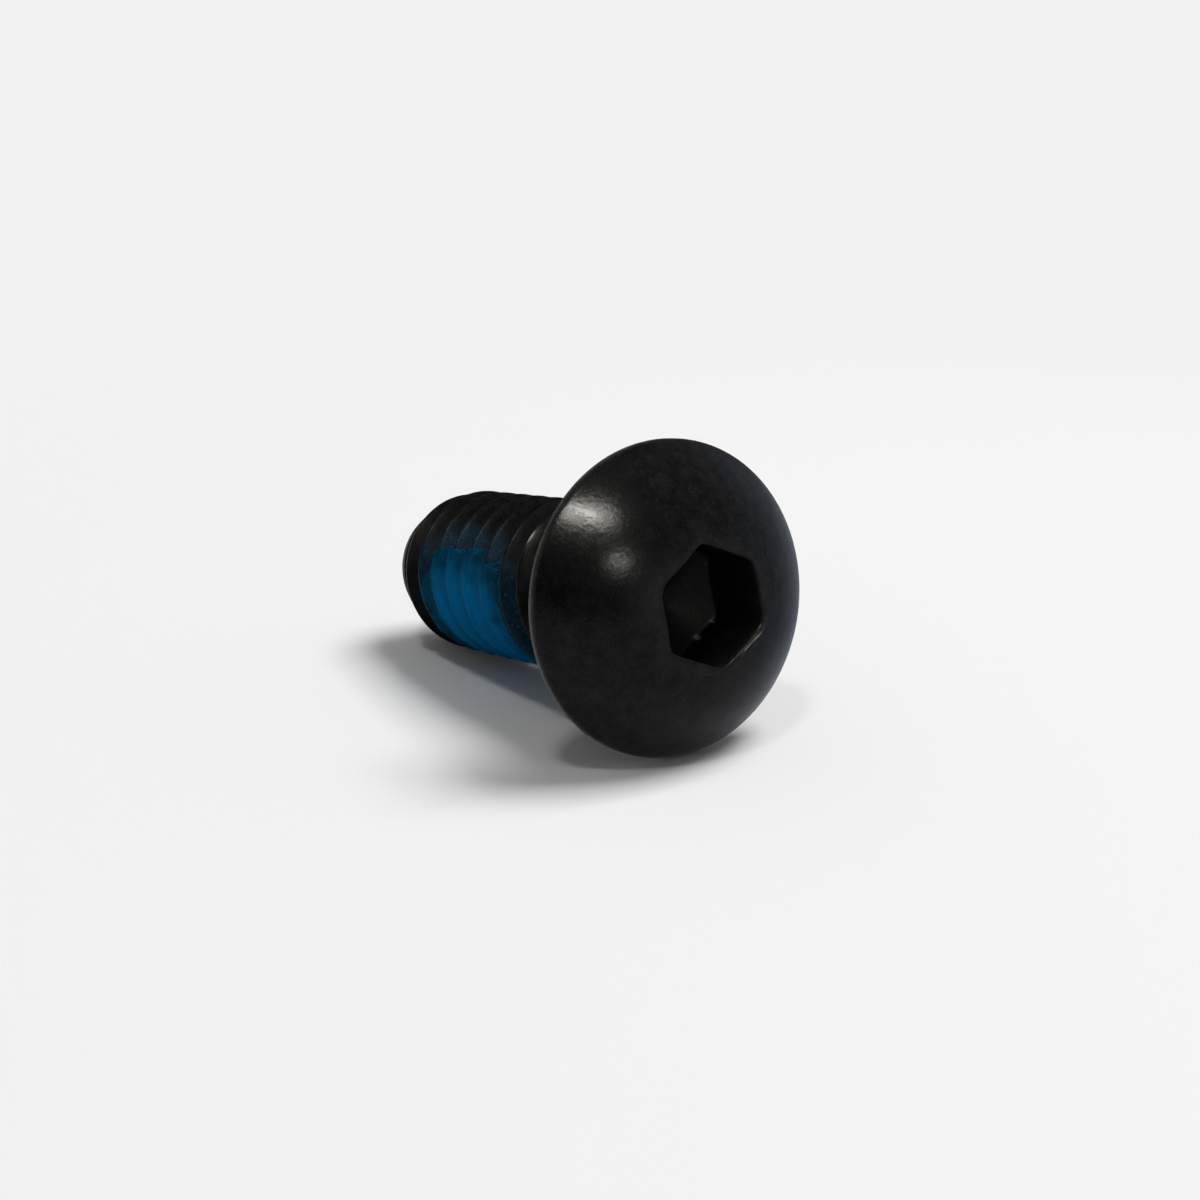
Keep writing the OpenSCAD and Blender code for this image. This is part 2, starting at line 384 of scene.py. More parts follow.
def shank_radius(shank, theta, height):
    """Radius of the threaded shank: the root's radius and the tooth's height, faded into the neck over the
    run-out, held under the cone of the point, and rounded off at the end's edge."""
    phases, heights = tooth(shank)
    crest = shank.thread_diameter / 2
    root = crest - heights[0]
    full = root + np.interp(phase(shank, theta, height), phases, heights, period=1)
    share = np.clip((-shank.neck_length - height) / shank.runout, 0, 1)
    radius = neck_radius(shank) + (full - neck_radius(shank)) * share
    point, above = shank.point_diameter / 2, height + shank.length
    limit = point + above * (crest - point) / shank.point_length
    edge = shank.end_edge
    short = np.clip(edge - above, 0, edge)
    return soft_min(radius, limit, POINT_BLEND) - (edge - np.sqrt(edge * edge - short * short))


def crest_wear_and_glint(shank, theta, height, radius):
    """Slight rubbing on the thread's crests all over, and a painted glint: one bright spot on the crest next
    to the neck. The glint falls off as a bell curve along the crest and across it, and all of it fades out
    over the last tenth of the radius below the crests."""
    around = np.mod(theta - shank.glint_turn + math.pi, TURN) - math.pi
    above = height + shank.length - shank.glint_height
    glint = np.exp(-((around / GLINT_LENGTH) ** 2) - (above / GLINT_WIDTH) ** 2)
    return (CREST_WEAR + PAINTED_GLINT * glint) * ease((radius / (shank.thread_diameter / 2) - 0.90) / 0.09)


def helix_heights(shank, theta, low, high):
    """Heights of the thread's rows, from the top down, one row for each point of the tooth in every turn.
    A row climbs one pitch a turn, and there are rows for a whole turn past both ends."""
    phases = tooth(shank)[0]
    turns = math.ceil((high - low) / shank.pitch) + 3
    first = math.floor((low + shank.length) / shank.pitch) - 2
    rows = (first + np.arange(turns + 2)[:, None] + phases[None, :]).reshape(-1)[::-1]
    return shank.pitch * (rows[:, None] + (theta[None, :] - shank.thread_turn) / TURN) - shank.length


def helical_band(rows, start, ring_above, ring_below, step):
    """Triangles of a helical band between two level rings. rows holds each point's height; those at or past
    the ends become the ring's own point of that column. Past the last column the grid meets the first one,
    one turn, or step rows, further up."""
    heights, low, high = rows
    count, columns = heights.shape
    index = start + np.arange(count * columns).reshape(count, columns)
    column = np.arange(columns)[None, :]
    index = np.where(heights >= high - CLOSE, ring_above + column, index)
    index = np.where(heights <= low + CLOSE, ring_below + column, index)
    wrapped = np.concatenate([np.full(step, ring_above), index[:-step, 0]])
    following = np.column_stack([index[:, 1:], wrapped])
    a, b, c, d = index[:-1], following[:-1], following[1:], index[1:]
    faces = np.concatenate([np.stack([a, d, c], -1).reshape(-1, 3), np.stack([a, c, b], -1).reshape(-1, 3)])
    same = (faces[:, 0] == faces[:, 1]) | (faces[:, 1] == faces[:, 2]) | (faces[:, 2] == faces[:, 0])
    return faces[~same]


def ring_faces(first, rings, columns):
    """Triangles between neighbouring rings of a closed tube, ring after ring from index first."""
    a = first + np.arange(rings - 1)[:, None] * columns + np.arange(columns)[None, :]
    b = first + np.arange(rings - 1)[:, None] * columns + (np.arange(columns)[None, :] + 1) % columns
    c, d = b + columns, a + columns
    return np.concatenate([np.stack([a, d, c], -1).reshape(-1, 3), np.stack([a, c, b], -1).reshape(-1, 3)])


def fan(centre, ring, columns, flip):
    """Triangles from one point to every edge of a ring."""
    j = np.arange(columns)
    pair = [ring + j, ring + (j + 1) % columns]
    if flip:
        pair.reverse()
    return np.stack([np.full(columns, centre), *pair], -1)


# ---------------------------------------------------------------- the patch

BROAD_SHARE = 0.65  # of the broad waves in the patch's ragged edge, the rest being fine ones
BROAD_WAVE, FINE_WAVE = 1.7 * MM, 0.6 * MM
EDGE_ROOM = 0.9  # how far the patch's grid reaches past its plain outline, as a share of its raggedness
SURFACE_WAVE, SURFACE_HEIGHT = 0.45 * MM, 0.012 * MM  # of the fine waves on top of the film
FILM_WAVE, FILM_CHANGE = 2.3 * MM, 0.25  # size of the waves in its thickness, and their share of it
EDGE_SINK = 0.7 * MM  # how far the film would drop at its very edge if there were no steel
TUCK = 0.04 * MM  # the deepest that the top of the film goes below the steel's surface
LEAST_THICKNESS = 0.03 * MM
FULL_COVER = 0.12 * MM  # thickness at which the steel no longer shows through


def patch_edge(patch, shank, theta, height):
    """How far inside the patch's edge a point is. The patch is a rectangle with rounded corners, laid round
    the shank with its ends along the helix: past the corners' centres the distance is the corner's radius
    less the distance to that centre, elsewhere it is that to the nearest side. Smooth wandering is added."""
    crest = shank.thread_diameter / 2
    around = np.mod(theta - patch.turn + math.pi, TURN) - math.pi
    along = height + shank.length - patch.gap - shank.pitch * (around / TURN + patch.span / 2 / TURN)
    over_side = np.abs(around) * crest - (patch.span / 2 * crest - patch.corner)
    over_end = np.abs(along - patch.length / 2) - (patch.length / 2 - patch.corner)
    past = np.hypot(np.maximum(over_side, 0), np.maximum(over_end, 0))
    broad, fine = ripple(around * crest, height, BROAD_WAVE), ripple(height, around * crest, FINE_WAVE)
    wander = BROAD_SHARE * broad + (1 - BROAD_SHARE) * fine
    return patch.corner - past - np.minimum(np.maximum(over_side, over_end), 0) + patch.ragged * wander


def make_mesh(name, points, faces, values, materials, slots=None):
    """A new object at the origin from points and triangles, smooth but for sharp corners, with one value a
    point under each name in values. slots gives each triangle's place in materials."""
    used, faces = np.unique(faces, return_inverse=True)
    faces = faces.reshape(-1, 3).astype(np.int32)
    points = points[used]
    mesh = bpy.data.meshes.new(name)
    mesh.vertices.add(len(points))
    mesh.vertices.foreach_set("co", points.astype(np.float32).ravel())
    mesh.loops.add(faces.size)
    mesh.loops.foreach_set("vertex_index", faces.ravel())
    mesh.polygons.add(len(faces))
    mesh.polygons.foreach_set("loop_start", np.arange(0, faces.size, 3, dtype=np.int32))
    for label, value in values.items():
        attribute = mesh.attributes.new(label, "FLOAT", "POINT")
        attribute.data.foreach_set("value", value[used].astype(np.float32))
    for material in materials:
        mesh.materials.append(material)
    if slots is not None:
        mesh.polygons.foreach_set("material_index", slots.astype(np.int32))
    mesh.update(calc_edges=True)
    if mesh.validate():
        raise RuntimeError(f"{name}: the mesh has faces that are not valid")
    mesh.shade_smooth()
    mesh.set_sharp_from_angle(angle=SHARP)
    made = bpy.data.objects.new(name, mesh)
    bpy.context.scene.collection.objects.link(made)
    return made


class SCREW_OT_make_body(bpy.types.Operator):
    """Make the steel screw: head, socket, neck and rolled thread in one closed surface"""

    bl_idname = "screw.make_body"
    bl_label = "Make screw"

    def execute(self, context):
        scene = context.scene
        head, shank, patch = scene.screw_head, scene.screw_shank, scene.screw_patch
        theta = head.socket_turn + TURN * np.arange(COLUMNS) / COLUMNS
        radii, heights, wear_and_glint, mouth, collar = head_rings(head, shank, theta)
        corner = head.socket_width / 2 / COS30
        apex = head.height - head.socket_depth - corner / math.tan(head.socket_angle / 2)

        high, low = -shank.neck_length, -shank.length + END_BAND
        rows = helix_heights(shank, theta, low, high)
        held = np.clip(rows, low, high)
        row_radii = shank_radius(shank, theta[None, :], held)

        # The end: a level ring, the rounded edge below it, and the cupped face in to its centre
        drop = -shank.length + np.concatenate([[low + shank.length], np.linspace(shank.end_edge, 0, 7)])
        end_heights = np.repeat(drop[:, None], COLUMNS, 1)
        end_radii = shank_radius(shank, theta[None, :], end_heights)
        inward = np.linspace(0.93, 0.08, 12)[:, None]
        face_radii = end_radii[-1][None, :] * inward
        cup = shank.end_cup * ease((0.86 - inward) / 0.7)
        face_heights = -shank.length + np.repeat(cup, COLUMNS, 1)

        parts = [(radii, heights), (row_radii, held), (end_radii, end_heights), (face_radii, face_heights)]
        radii_all = np.concatenate([part[0].ravel() for part in parts])
        heights_all = np.concatenate([part[1].ravel() for part in parts])
        counts = [len(part[0]) for part in parts]
        theta_all = np.tile(theta, sum(counts))
        points = place(radii_all, theta_all, heights_all)
        poles = place(np.zeros(2), np.zeros(2), np.array([apex, -shank.length + shank.end_cup]))
        points = np.concatenate([points, poles])

        neck_ring = (counts[0] - 1) * COLUMNS
        first_row = counts[0] * COLUMNS
        end_ring = first_row + counts[1] * COLUMNS
        last_ring = end_ring + (counts[2] + counts[3] - 1) * COLUMNS
        pole = len(points) - 2
        step = len(tooth(shank)[0])
        faces = np.concatenate([
            fan(pole, 0, COLUMNS, False),
            ring_faces(0, counts[0], COLUMNS),
            helical_band((rows, low, high), first_row, neck_ring, end_ring, step),
            ring_faces(end_ring, counts[2] + counts[3], COLUMNS),
            fan(pole + 1, last_ring, COLUMNS, True),
        ])

        # Wear on edges and crests, with painted glints and highlights: the rim's line, the socket's lip and
        # foot, and one crest
        rub_and_glint = np.concatenate([
            wear_and_glint.ravel(),
            # Slight crest wear, and the painted glint on one crest near the neck
            crest_wear_and_glint(shank, theta[None, :], held, row_radii).ravel(),
            crest_wear_and_glint(shank, theta[None, :], end_heights, end_radii).ravel(),
            np.zeros(counts[3] * COLUMNS + 2),
        ])
        inside = patch_edge(patch, shank, theta_all, heights_all)
        on_shank = heights_all < -shank.neck_length
        dust = np.where(on_shank, ease(1.1 + inside / patch.dusting), 0)
        dust = np.concatenate([dust, np.zeros(2)])

        # The socket is a little duller than the crown, and all under the head is duller still: 0 is the
        # crown's place in the list of materials, 1 that of all under the head and 2 the socket's
        ring = np.where(np.arange(len(points)) == pole, 0, np.arange(len(points)) // COLUMNS)
        finishes = np.select([ring >= collar, ring < mouth], [1, 2], 0)
        body = make_mesh(
            "steel_screw", points, faces, {"rub_and_glint": rub_and_glint, "dust": dust},
            [black_oxide(scene.screw_finish, "Black oxide crown", gloss=0.14, dullness=0.05, relief=0.38),
             black_oxide(scene.screw_finish, "Black oxide thread", gloss=0.035, dullness=0.2, relief=0.8),
             black_oxide(scene.screw_finish, "Black oxide socket", gloss=0.105, dullness=0.2, relief=0.5)],
            finishes[faces].max(1),
        )
        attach(body, "root")
        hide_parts("screw")
        return {"FINISHED"}


class SCREW_OT_make_patch(bpy.types.Operator):
    """Make the nylon locking patch, fused over the thread and feathered at its ragged edge"""

    bl_idname = "screw.make_patch"
    bl_label = "Make locking patch"

    def execute(self, context):
        scene = context.scene
        shank, patch = scene.screw_shank, scene.screw_patch
        crest, margin = shank.thread_diameter / 2, EDGE_ROOM * patch.ragged
        half = patch.span / 2 + margin / crest
        theta = patch.turn + np.linspace(-half, half, PATCH_COLUMNS)

        # Rows follow the helix from the crest below the patch's start, each at a fixed phase of the thread
        phases = tooth(shank)[0]
        turns = (patch.length + 2 * margin) / shank.pitch
        rows = np.arange(round(turns * len(phases)) + 1)
        step = rows // len(phases) + phases[rows % len(phases)]
        base = math.floor((patch.gap - margin) / shank.pitch - (patch.turn - shank.thread_turn) / TURN)
        height = shank.pitch * (base + step[:, None] + (theta[None, :] - shank.thread_turn) / TURN)
        height = height - shank.length
        grid_theta = np.repeat(theta[None, :], len(rows), 0)

        # The film over the crests, dipping between them and sinking to the steel at its edge
        steel = shank_radius(shank, grid_theta, height)
        inwards = patch_edge(patch, shank, grid_theta, height)
        inside = ease(inwards / patch.feather)
        dip = patch.dip * (0.5 - 0.5 * np.cos(TURN * phase(shank, grid_theta, height)))
        rough = SURFACE_HEIGHT * ripple(grid_theta * crest, height, SURFACE_WAVE)
        waves = ripple(height, grid_theta * crest, FILM_WAVE)
        film = patch.film * (1 - FILM_CHANGE + FILM_CHANGE * waves)
        nylon = crest + film - dip + rough - (1 - inside) ** 2 * EDGE_SINK
        outer = np.maximum(nylon, steel - TUCK)
        inner = np.minimum(steel, outer) - LEAST_THICKNESS
        cover = np.clip((nylon - steel) / FULL_COVER, 0, 1)

        count, columns = height.shape
        points = np.concatenate([
            place(outer, grid_theta, height).reshape(-1, 3), place(inner, grid_theta, height).reshape(-1, 3)
        ])
        index = np.arange(count * columns).reshape(count, columns)
        a, b, c, d = index[:-1, :-1], index[:-1, 1:], index[1:, 1:], index[1:, :-1]
        top = np.concatenate([np.stack([a, b, c], -1).reshape(-1, 3), np.stack([a, c, d], -1).reshape(-1, 3)])
        under = top[:, ::-1] + count * columns
        loop = np.concatenate([index[0, :-1], index[:-1, -1], index[-1, :0:-1], index[:0:-1, 0]])
        after, low = np.roll(loop, -1), count * columns
        wall = np.concatenate([
            np.stack([loop, loop + low, after + low], -1), np.stack([loop, after + low, after], -1)
        ])
        # Painted shade across the thread: 1 on the crests and 0 in the grooves, which the nylon's colour
        # darkens
        ridge_shade = 0.5 + 0.5 * np.cos(TURN * phase(shank, grid_theta, height))
        rolled = height - shank.pitch * grid_theta / TURN
        values = {
            "cover": np.tile(cover.ravel(), 2),
            "edge": np.tile(np.clip(1 - inwards / patch.fade, 0, 1).ravel(), 2),
            "ridge_shade": np.tile(ridge_shade.ravel(), 2),
            "rolled": np.tile(rolled.ravel(), 2),
            "arc": np.tile(crest * grid_theta.ravel(), 2),
        }
        nylon_patch = make_mesh("nylon_patch", points, np.concatenate([top, under, wall]), values,
                                [blue_nylon(scene.screw_finish)])
        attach(nylon_patch, "root")
        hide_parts("locking_patch")
        return {"FINISHED"}


# ---------------------------------------------------------------- finishes


def node(tree, kind, settings=None, **inputs):
    """Adds one node. settings are its own properties, and inputs its sockets by name: a node's output is
    linked, and anything else is set. A name's underscores stand for spaces, and a digit picks by place."""
    made = tree.nodes.new(kind)
    for key, value in (settings or {}).items():
        setattr(made, key, value)
    for key, value in inputs.items():
        key = key.replace("_", " ").strip()
        socket = made.inputs[int(key)] if key.isdigit() else made.inputs[key]
        if isinstance(value, bpy.types.NodeSocket):
            tree.links.new(value, socket)
        else:
            socket.default_value = value
    return made


def mix(tree, share, first, second):
    """A colour between two others. The node's colour inputs are its seventh and eighth."""
    made = node(tree, "ShaderNodeMix", {"data_type": "RGBA"})
    for place_in, value in ((0, share), (6, first), (7, second)):
        if isinstance(value, bpy.types.NodeSocket):
            tree.links.new(value, made.inputs[place_in])
        elif place_in:
            made.inputs[place_in].default_value = (*value, 1.0)
        else:
            made.inputs[place_in].default_value = value
    return made.outputs[2]


def maths(tree, operation, first, second=0.0):
    """One sum on values."""
    return node(tree, "ShaderNodeMath", {"operation": operation}, _0=first, _1=second).outputs[0]


def remap(tree, value, from_low, from_high, to_low, to_high):
    """A value moved from one range to another, and held inside it."""
    return node(
        tree, "ShaderNodeMapRange", None, Value=value,
        From_Min=from_low, From_Max=from_high, To_Min=to_low, To_Max=to_high,
    ).outputs["Result"]


def group(name, inputs, outputs):
    """A new shader group with value inputs and outputs, and its input and output nodes. Inputs are given as
    (name, kind, default)."""
    tree = bpy.data.node_groups.new(name, "ShaderNodeTree")
    for label, kind, default in inputs:
        socket = tree.interface.new_socket(name=label, in_out="INPUT", socket_type=kind)
        if default is not None:
            socket.default_value = default
    for label in outputs:
        tree.interface.new_socket(name=label, in_out="OUTPUT", socket_type="NodeSocketFloat")
    return tree, tree.nodes.new("NodeGroupInput"), tree.nodes.new("NodeGroupOutput")


def grain_group():
    """Fine grain and broad mottle of a finish, both from 0 to 1, and a height that joins them for relief."""
    name = "Grain and mottle"
    if name in bpy.data.node_groups:
        return bpy.data.node_groups[name]
    tree, given, result = group(
        name,
        [("Position", "NodeSocketVector", None), ("Grain", "NodeSocketFloat", 12000.0),
         ("Mottle", "NodeSocketFloat", 900.0)],
        ["Grain", "Mottle", "Height"],
    )
    fine = node(
        tree, "ShaderNodeTexNoise", None, Vector=given.outputs[0], Scale=given.outputs[1], Detail=3.0,
        Roughness=0.65,
    )
    broad = node(
        tree, "ShaderNodeTexNoise", None, Vector=given.outputs[0], Scale=given.outputs[2], Detail=6.0,
        Roughness=0.62,
    )
    grain = remap(tree, fine.outputs[0], 0.25, 0.75, 0.0, 1.0)
    mottle = remap(tree, broad.outputs[0], 0.27, 0.73, 0.0, 1.0)
    height = maths(tree, "ADD", maths(tree, "MULTIPLY", grain, 0.7), maths(tree, "MULTIPLY", mottle, 0.35))
    for label, value in (("Grain", grain), ("Mottle", mottle), ("Height", height)):
        tree.links.new(value, result.inputs[label])
    return tree


def speckle_group():
    """Scattered grains: a mask that is 1 where a fine noise rises above a threshold lowered by Amount."""
    name = "Scattered grains"
    if name in bpy.data.node_groups:
        return bpy.data.node_groups[name]
    tree, given, result = group(
        name,
        [("Position", "NodeSocketVector", None), ("Size", "NodeSocketFloat", 9000.0),
         ("Amount", "NodeSocketFloat", 0.0)],
        ["Mask"],
    )
    fine = node(
        tree, "ShaderNodeTexNoise", None, Vector=given.outputs[0], Scale=given.outputs[1], Detail=2.0,
        Roughness=0.5,
    )
    level = maths(tree, "SUBTRACT", fine.outputs[0], remap(tree, given.outputs[2], 0.0, 1.0, 0.80, 0.40))
    mask = remap(tree, level, 0.0, 0.05, 0.0, 1.0)
    tree.links.new(mask, result.inputs["Mask"])
    return tree


def new_material(name):
    """A material with an empty node tree, its Principled shader and its output."""
    material = bpy.data.materials.new(name)
    material.use_nodes = True
    tree = material.node_tree
    tree.nodes.clear()
    shader = tree.nodes.new("ShaderNodeBsdfPrincipled")
    output = tree.nodes.new("ShaderNodeOutputMaterial")
    tree.links.new(shader.outputs[0], output.inputs["Surface"])
    return material, tree, shader


def use_group(tree, made, **inputs):
    """Places a shader group in a tree and sets or links its inputs."""
    placed = node(tree, "ShaderNodeGroup", {"node_tree": made}, **inputs)
    return placed.outputs


def stored(tree, name):
    """A value that the mesh holds under a name."""
    return node(tree, "ShaderNodeAttribute", {"attribute_name": name}).outputs["Fac"]


def black_oxide(finish, name, gloss, dullness, relief):
    """Oiled black oxide on steel: near black, mottled and finely grained, greyer where it is rubbed and paler
    still at painted glints and highlights, with stray grains of nylon near the patch. gloss is the strength
    of its mirror-like part, dullness is added to its roughness, and relief is the strength of its grain."""
    material, tree, shader = new_material(name)
    where = node(tree, "ShaderNodeTexCoord").outputs["Object"]
    grain, mottle, height = use_group(tree, grain_group(), Position=where, Grain=7500.0, Mottle=2200.0)
    uneven = maths(tree, "ADD", grain, mottle)
    rub_and_glint, dust = stored(tree, "rub_and_glint"), stored(tree, "dust")
    wear_and_glint = maths(tree, "MULTIPLY", rub_and_glint, remap(tree, uneven, 0.3, 1.7, 0.35, 0.85))
    few = maths(tree, "MULTIPLY", dust, 0.45)
    specks = use_group(tree, speckle_group(), Position=where, Size=11000.0, Amount=few)[0]
    flecks = use_group(tree, speckle_group(), Position=where, Size=9000.0, Amount=0.42)[0]
    patchy = maths(tree, "ADD", maths(tree, "MULTIPLY", mottle, 0.65), maths(tree, "MULTIPLY", grain, 0.35))
    tint = mix(tree, remap(tree, patchy, 0.25, 0.75, 0.0, 1.0), tuple(finish.oxide),
               tuple(finish.oxide_light))
    tint = mix(tree, maths(tree, "MULTIPLY", flecks, 0.07), tint, tuple(finish.worn_and_glint))
    # Wear and painted highlights in the worn colour, and the brightest painted glints in pale steel grey
    tint = mix(tree, wear_and_glint, tint, tuple(finish.worn_and_glint))
    tint = mix(tree, remap(tree, rub_and_glint, 1.0, 1.6, 0.0, 1.0), tint, tuple(finish.painted_glint))
    veil = maths(tree, "MULTIPLY", dust, remap(tree, mottle, 0.2, 0.8, 0.2, 0.6))
    tint = mix(tree, veil, tint, tuple(finish.nylon_thin))
    strewn = maths(tree, "MULTIPLY", specks, maths(tree, "MULTIPLY", dust, 0.35))
    tint = mix(tree, strewn, tint, tuple(finish.nylon))
    tree.links.new(tint, shader.inputs["Base Color"])
    satin = remap(tree, uneven, 0.4, 1.6, 0.24 + dullness, 0.11 + dullness)
    tree.links.new(satin, shader.inputs["Roughness"])
    shader.inputs["Specular IOR Level"].default_value = gloss
    bump = node(tree, "ShaderNodeBump", None, Strength=relief, Distance=0.012 * MM, Height=height)
    tree.links.new(bump.outputs[0], shader.inputs["Normal"])
    return material


def blue_nylon(finish):
    """Fused nylon powder: deep blue, darker where it is thin over the crests, with painted shade darkening
    the grooves between them and paler loose grains along its feathered edge."""
    material, tree, shader = new_material("Blue nylon")
    where = node(tree, "ShaderNodeTexCoord").outputs["Object"]
    grain, mottle, height = use_group(tree, grain_group(), Position=where, Grain=7000.0, Mottle=1600.0)
    cover, edge, ridge_shade = stored(tree, "cover"), stored(tree, "edge"), stored(tree, "ridge_shade")
    # Streaks along the thread: noise on the rolled-out surface, stretched round the screw
    stretched = maths(tree, "MULTIPLY", stored(tree, "arc"), 0.12)
    lay = node(tree, "ShaderNodeCombineXYZ", None, X=stored(tree, "rolled"), Y=stretched).outputs[0]
    streak = use_group(tree, grain_group(), Position=lay, Grain=2600.0, Mottle=1200.0)[0]
    thin = maths(tree, "MULTIPLY", remap(tree, cover, 0.0, 0.6, 1.0, 0.0),
                 remap(tree, mottle, 0.0, 1.0, 0.75, 0.4))
    many = maths(tree, "MULTIPLY", edge, 0.6)
    loose = use_group(tree, speckle_group(), Position=where, Size=9000.0, Amount=many)[0]
    # Painted shade: the grooves darker and the crests lighter, mixed with the streaks
    shade_and_streak = maths(tree, "ADD", ridge_shade, maths(tree, "MULTIPLY", streak, 2.0))
    tint = mix(tree, remap(tree, shade_and_streak, 0.3, 2.3, 0.7, 0.0), tuple(finish.nylon), tuple(finish.nylon_thin))
    uneven = maths(tree, "MULTIPLY", maths(tree, "SUBTRACT", maths(tree, "ADD", mottle, streak), 1.0), 0.4)
    fading = remap(tree, maths(tree, "ADD", edge, uneven), 0.1, 0.65, 0.0, 1.0)
    tint = mix(tree, maths(tree, "MAXIMUM", thin, fading), tint, tuple(finish.nylon_thin))
    tint = mix(tree, maths(tree, "MULTIPLY", loose, remap(tree, edge, 0.4, 0.8, 0.0, 0.4)), tint,
               tuple(finish.nylon_dust))
    tree.links.new(tint, shader.inputs["Base Color"])
    tree.links.new(remap(tree, grain, 0.0, 1.0, 0.60, 0.45), shader.inputs["Roughness"])
    shader.inputs["Specular IOR Level"].default_value = 0.004
    bump = node(tree, "ShaderNodeBump", None, Strength=0.4, Distance=0.02 * MM, Height=height)
    tree.links.new(bump.outputs[0], shader.inputs["Normal"])
    return material


# ---------------------------------------------------------------- stage

SENSOR = 36.0  # millimetres
FLOOR_REACH = 2.0  # metres
PLAIN_FROM, PLAIN_TO = 30 * MM, 75 * MM  # the paper becomes the plain backdrop between these distances
MIRRORED_FROM, MIRRORED_TO = 5 * MM, 20 * MM  # and between these in the steel's reflections
LAMP_DISTANCE = 1.0  # metres
AIM_HEIGHT = 5 * MM  # the lamps face a point this far above the floor

# Lamps: name, direction, size, radiance, turn in degrees, whether it lights dull surfaces, whether it is
# mirrored
LAMPS = (
    ("window", (0.12, 0.45, 0.88), (0.45, 0.45), 14.0, 0, True, False),
    ("key lamp", (0.28, -0.33, 0.90), (0.12, 0.12), 30.0, 0, True, False),
    ("key strip", (0.20, -0.43, 0.88), (0.49, 0.04), 220.0, 6, False, True),
    ("side lamp", (0.72, -0.38, 0.56), (0.05, 0.04), 255.0, 0, False, True),
)


def seen_rays(tree):
    """1 for rays from the camera and for those that a mirror or glass sends on, 0 for the rest."""
    path = node(tree, "ShaderNodeLightPath").outputs
    return maths(tree, "MAXIMUM", path["Is Camera Ray"],
                 maths(tree, "MAXIMUM", path["Is Glossy Ray"], path["Is Transmission Ray"]))


def floor_material(finish, stage):
    """A pale floor that takes the screw's shadow near it and is an even backdrop colour further off. The
    steel mirrors it in two tones, one in front of the screw and one behind."""
    material = bpy.data.materials.new("Pale floor")
    material.use_nodes = True
    tree = material.node_tree
    tree.nodes.clear()
    where = node(tree, "ShaderNodeTexCoord").outputs["Object"]
    away = node(tree, "ShaderNodeVectorMath", {"operation": "LENGTH"}, _0=where).outputs["Value"]
    mirrored = node(tree, "ShaderNodeLightPath").outputs["Is Glossy Ray"]
    far = maths(tree, "MAXIMUM", remap(tree, away, PLAIN_FROM, PLAIN_TO, 0.0, 1.0),
                maths(tree, "MULTIPLY", mirrored, remap(tree, away, MIRRORED_FROM, MIRRORED_TO, 0.0, 1.0)))
    albedo = stage.floor_albedo
    across = node(tree, "ShaderNodeSeparateXYZ", None, Vector=where).outputs["Y"]
    share = mix(tree, remap(tree, across, -2 * MM, 14 * MM, 0.0, 1.0), tuple(finish.mirrored_floor),
                tuple(finish.mirrored_back))
    paper_tint = node(tree, "ShaderNodeMix", {"data_type": "RGBA"}, _0=mirrored, _6=(*[albedo] * 3, 1.0),
                      _7=share).outputs[2]
    plain_tint = node(tree, "ShaderNodeMix", {"data_type": "RGBA"}, _0=mirrored, _6=(*finish.backdrop, 1.0),
                      _7=share).outputs[2]
    paper = node(tree, "ShaderNodeBsdfDiffuse", None, Color=paper_tint)
    plain = node(tree, "ShaderNodeEmission", None, Color=plain_tint, Strength=1.0)
    joined = node(tree, "ShaderNodeMixShader", None, _0=maths(tree, "MULTIPLY", far, seen_rays(tree)),
                  _1=paper.outputs[0], _2=plain.outputs[0])
    output = tree.nodes.new("ShaderNodeOutputMaterial")
    tree.links.new(joined.outputs[0], output.inputs["Surface"])
    return material


def make_world(finish, stage):
    """A pale backdrop and a weak even fill. The steel mirrors the rest of the room as well: dimmer overhead
    and behind the screw, darker beyond its tip, and darkest on the camera's side."""
    world = bpy.data.worlds.new("Studio")
    bpy.context.scene.world = world
    world.use_nodes = True
    tree = world.node_tree
    tree.nodes.clear()
    way = node(tree, "ShaderNodeTexCoord").outputs["Generated"]
    parts = node(tree, "ShaderNodeSeparateXYZ", None, Vector=way).outputs
    front = node(tree, "ShaderNodeVectorMath", {"operation": "DOT_PRODUCT"}, _0=way, _1=stage.room_side)
    behind = maths(tree, "MULTIPLY", remap(tree, parts["Y"], 0.3, 0.8, 0.0, 1.0),
                   remap(tree, parts["Z"], 0.4, 0.7, 1.0, 0.0))
    mirrored = mix(tree, remap(tree, parts["Z"], 0.25, 0.55, 0.0, 1.0), tuple(finish.backdrop),
                   tuple(finish.room))
    mirrored = mix(tree, behind, mirrored, tuple(finish.mirrored_back))
    mirrored = mix(tree, remap(tree, parts["X"], -0.62, -0.3, 1.0, 0.0), mirrored, tuple(finish.mirrored_end))
    mirrored = mix(tree, remap(tree, front.outputs["Value"], 0.70, 0.84, 0.0, 1.0), mirrored,
                   tuple(finish.dark_side))
    camera = node(tree, "ShaderNodeLightPath").outputs["Is Camera Ray"]
    shown = node(tree, "ShaderNodeMix", {"data_type": "RGBA"}, _0=camera, _6=mirrored,
                 _7=(*finish.backdrop, 1.0)).outputs[2]
    seen = node(tree, "ShaderNodeBackground", None, Color=shown, Strength=1.0)
    fill = node(tree, "ShaderNodeBackground", None, Color=(1.0, 1.0, 1.0, 1.0), Strength=stage.fill_level)
    joined = node(tree, "ShaderNodeMixShader", None, _0=seen_rays(tree), _1=fill.outputs[0],
                  _2=seen.outputs[0])
    output = tree.nodes.new("ShaderNodeOutputWorld")
    tree.links.new(joined.outputs[0], output.inputs["Surface"])


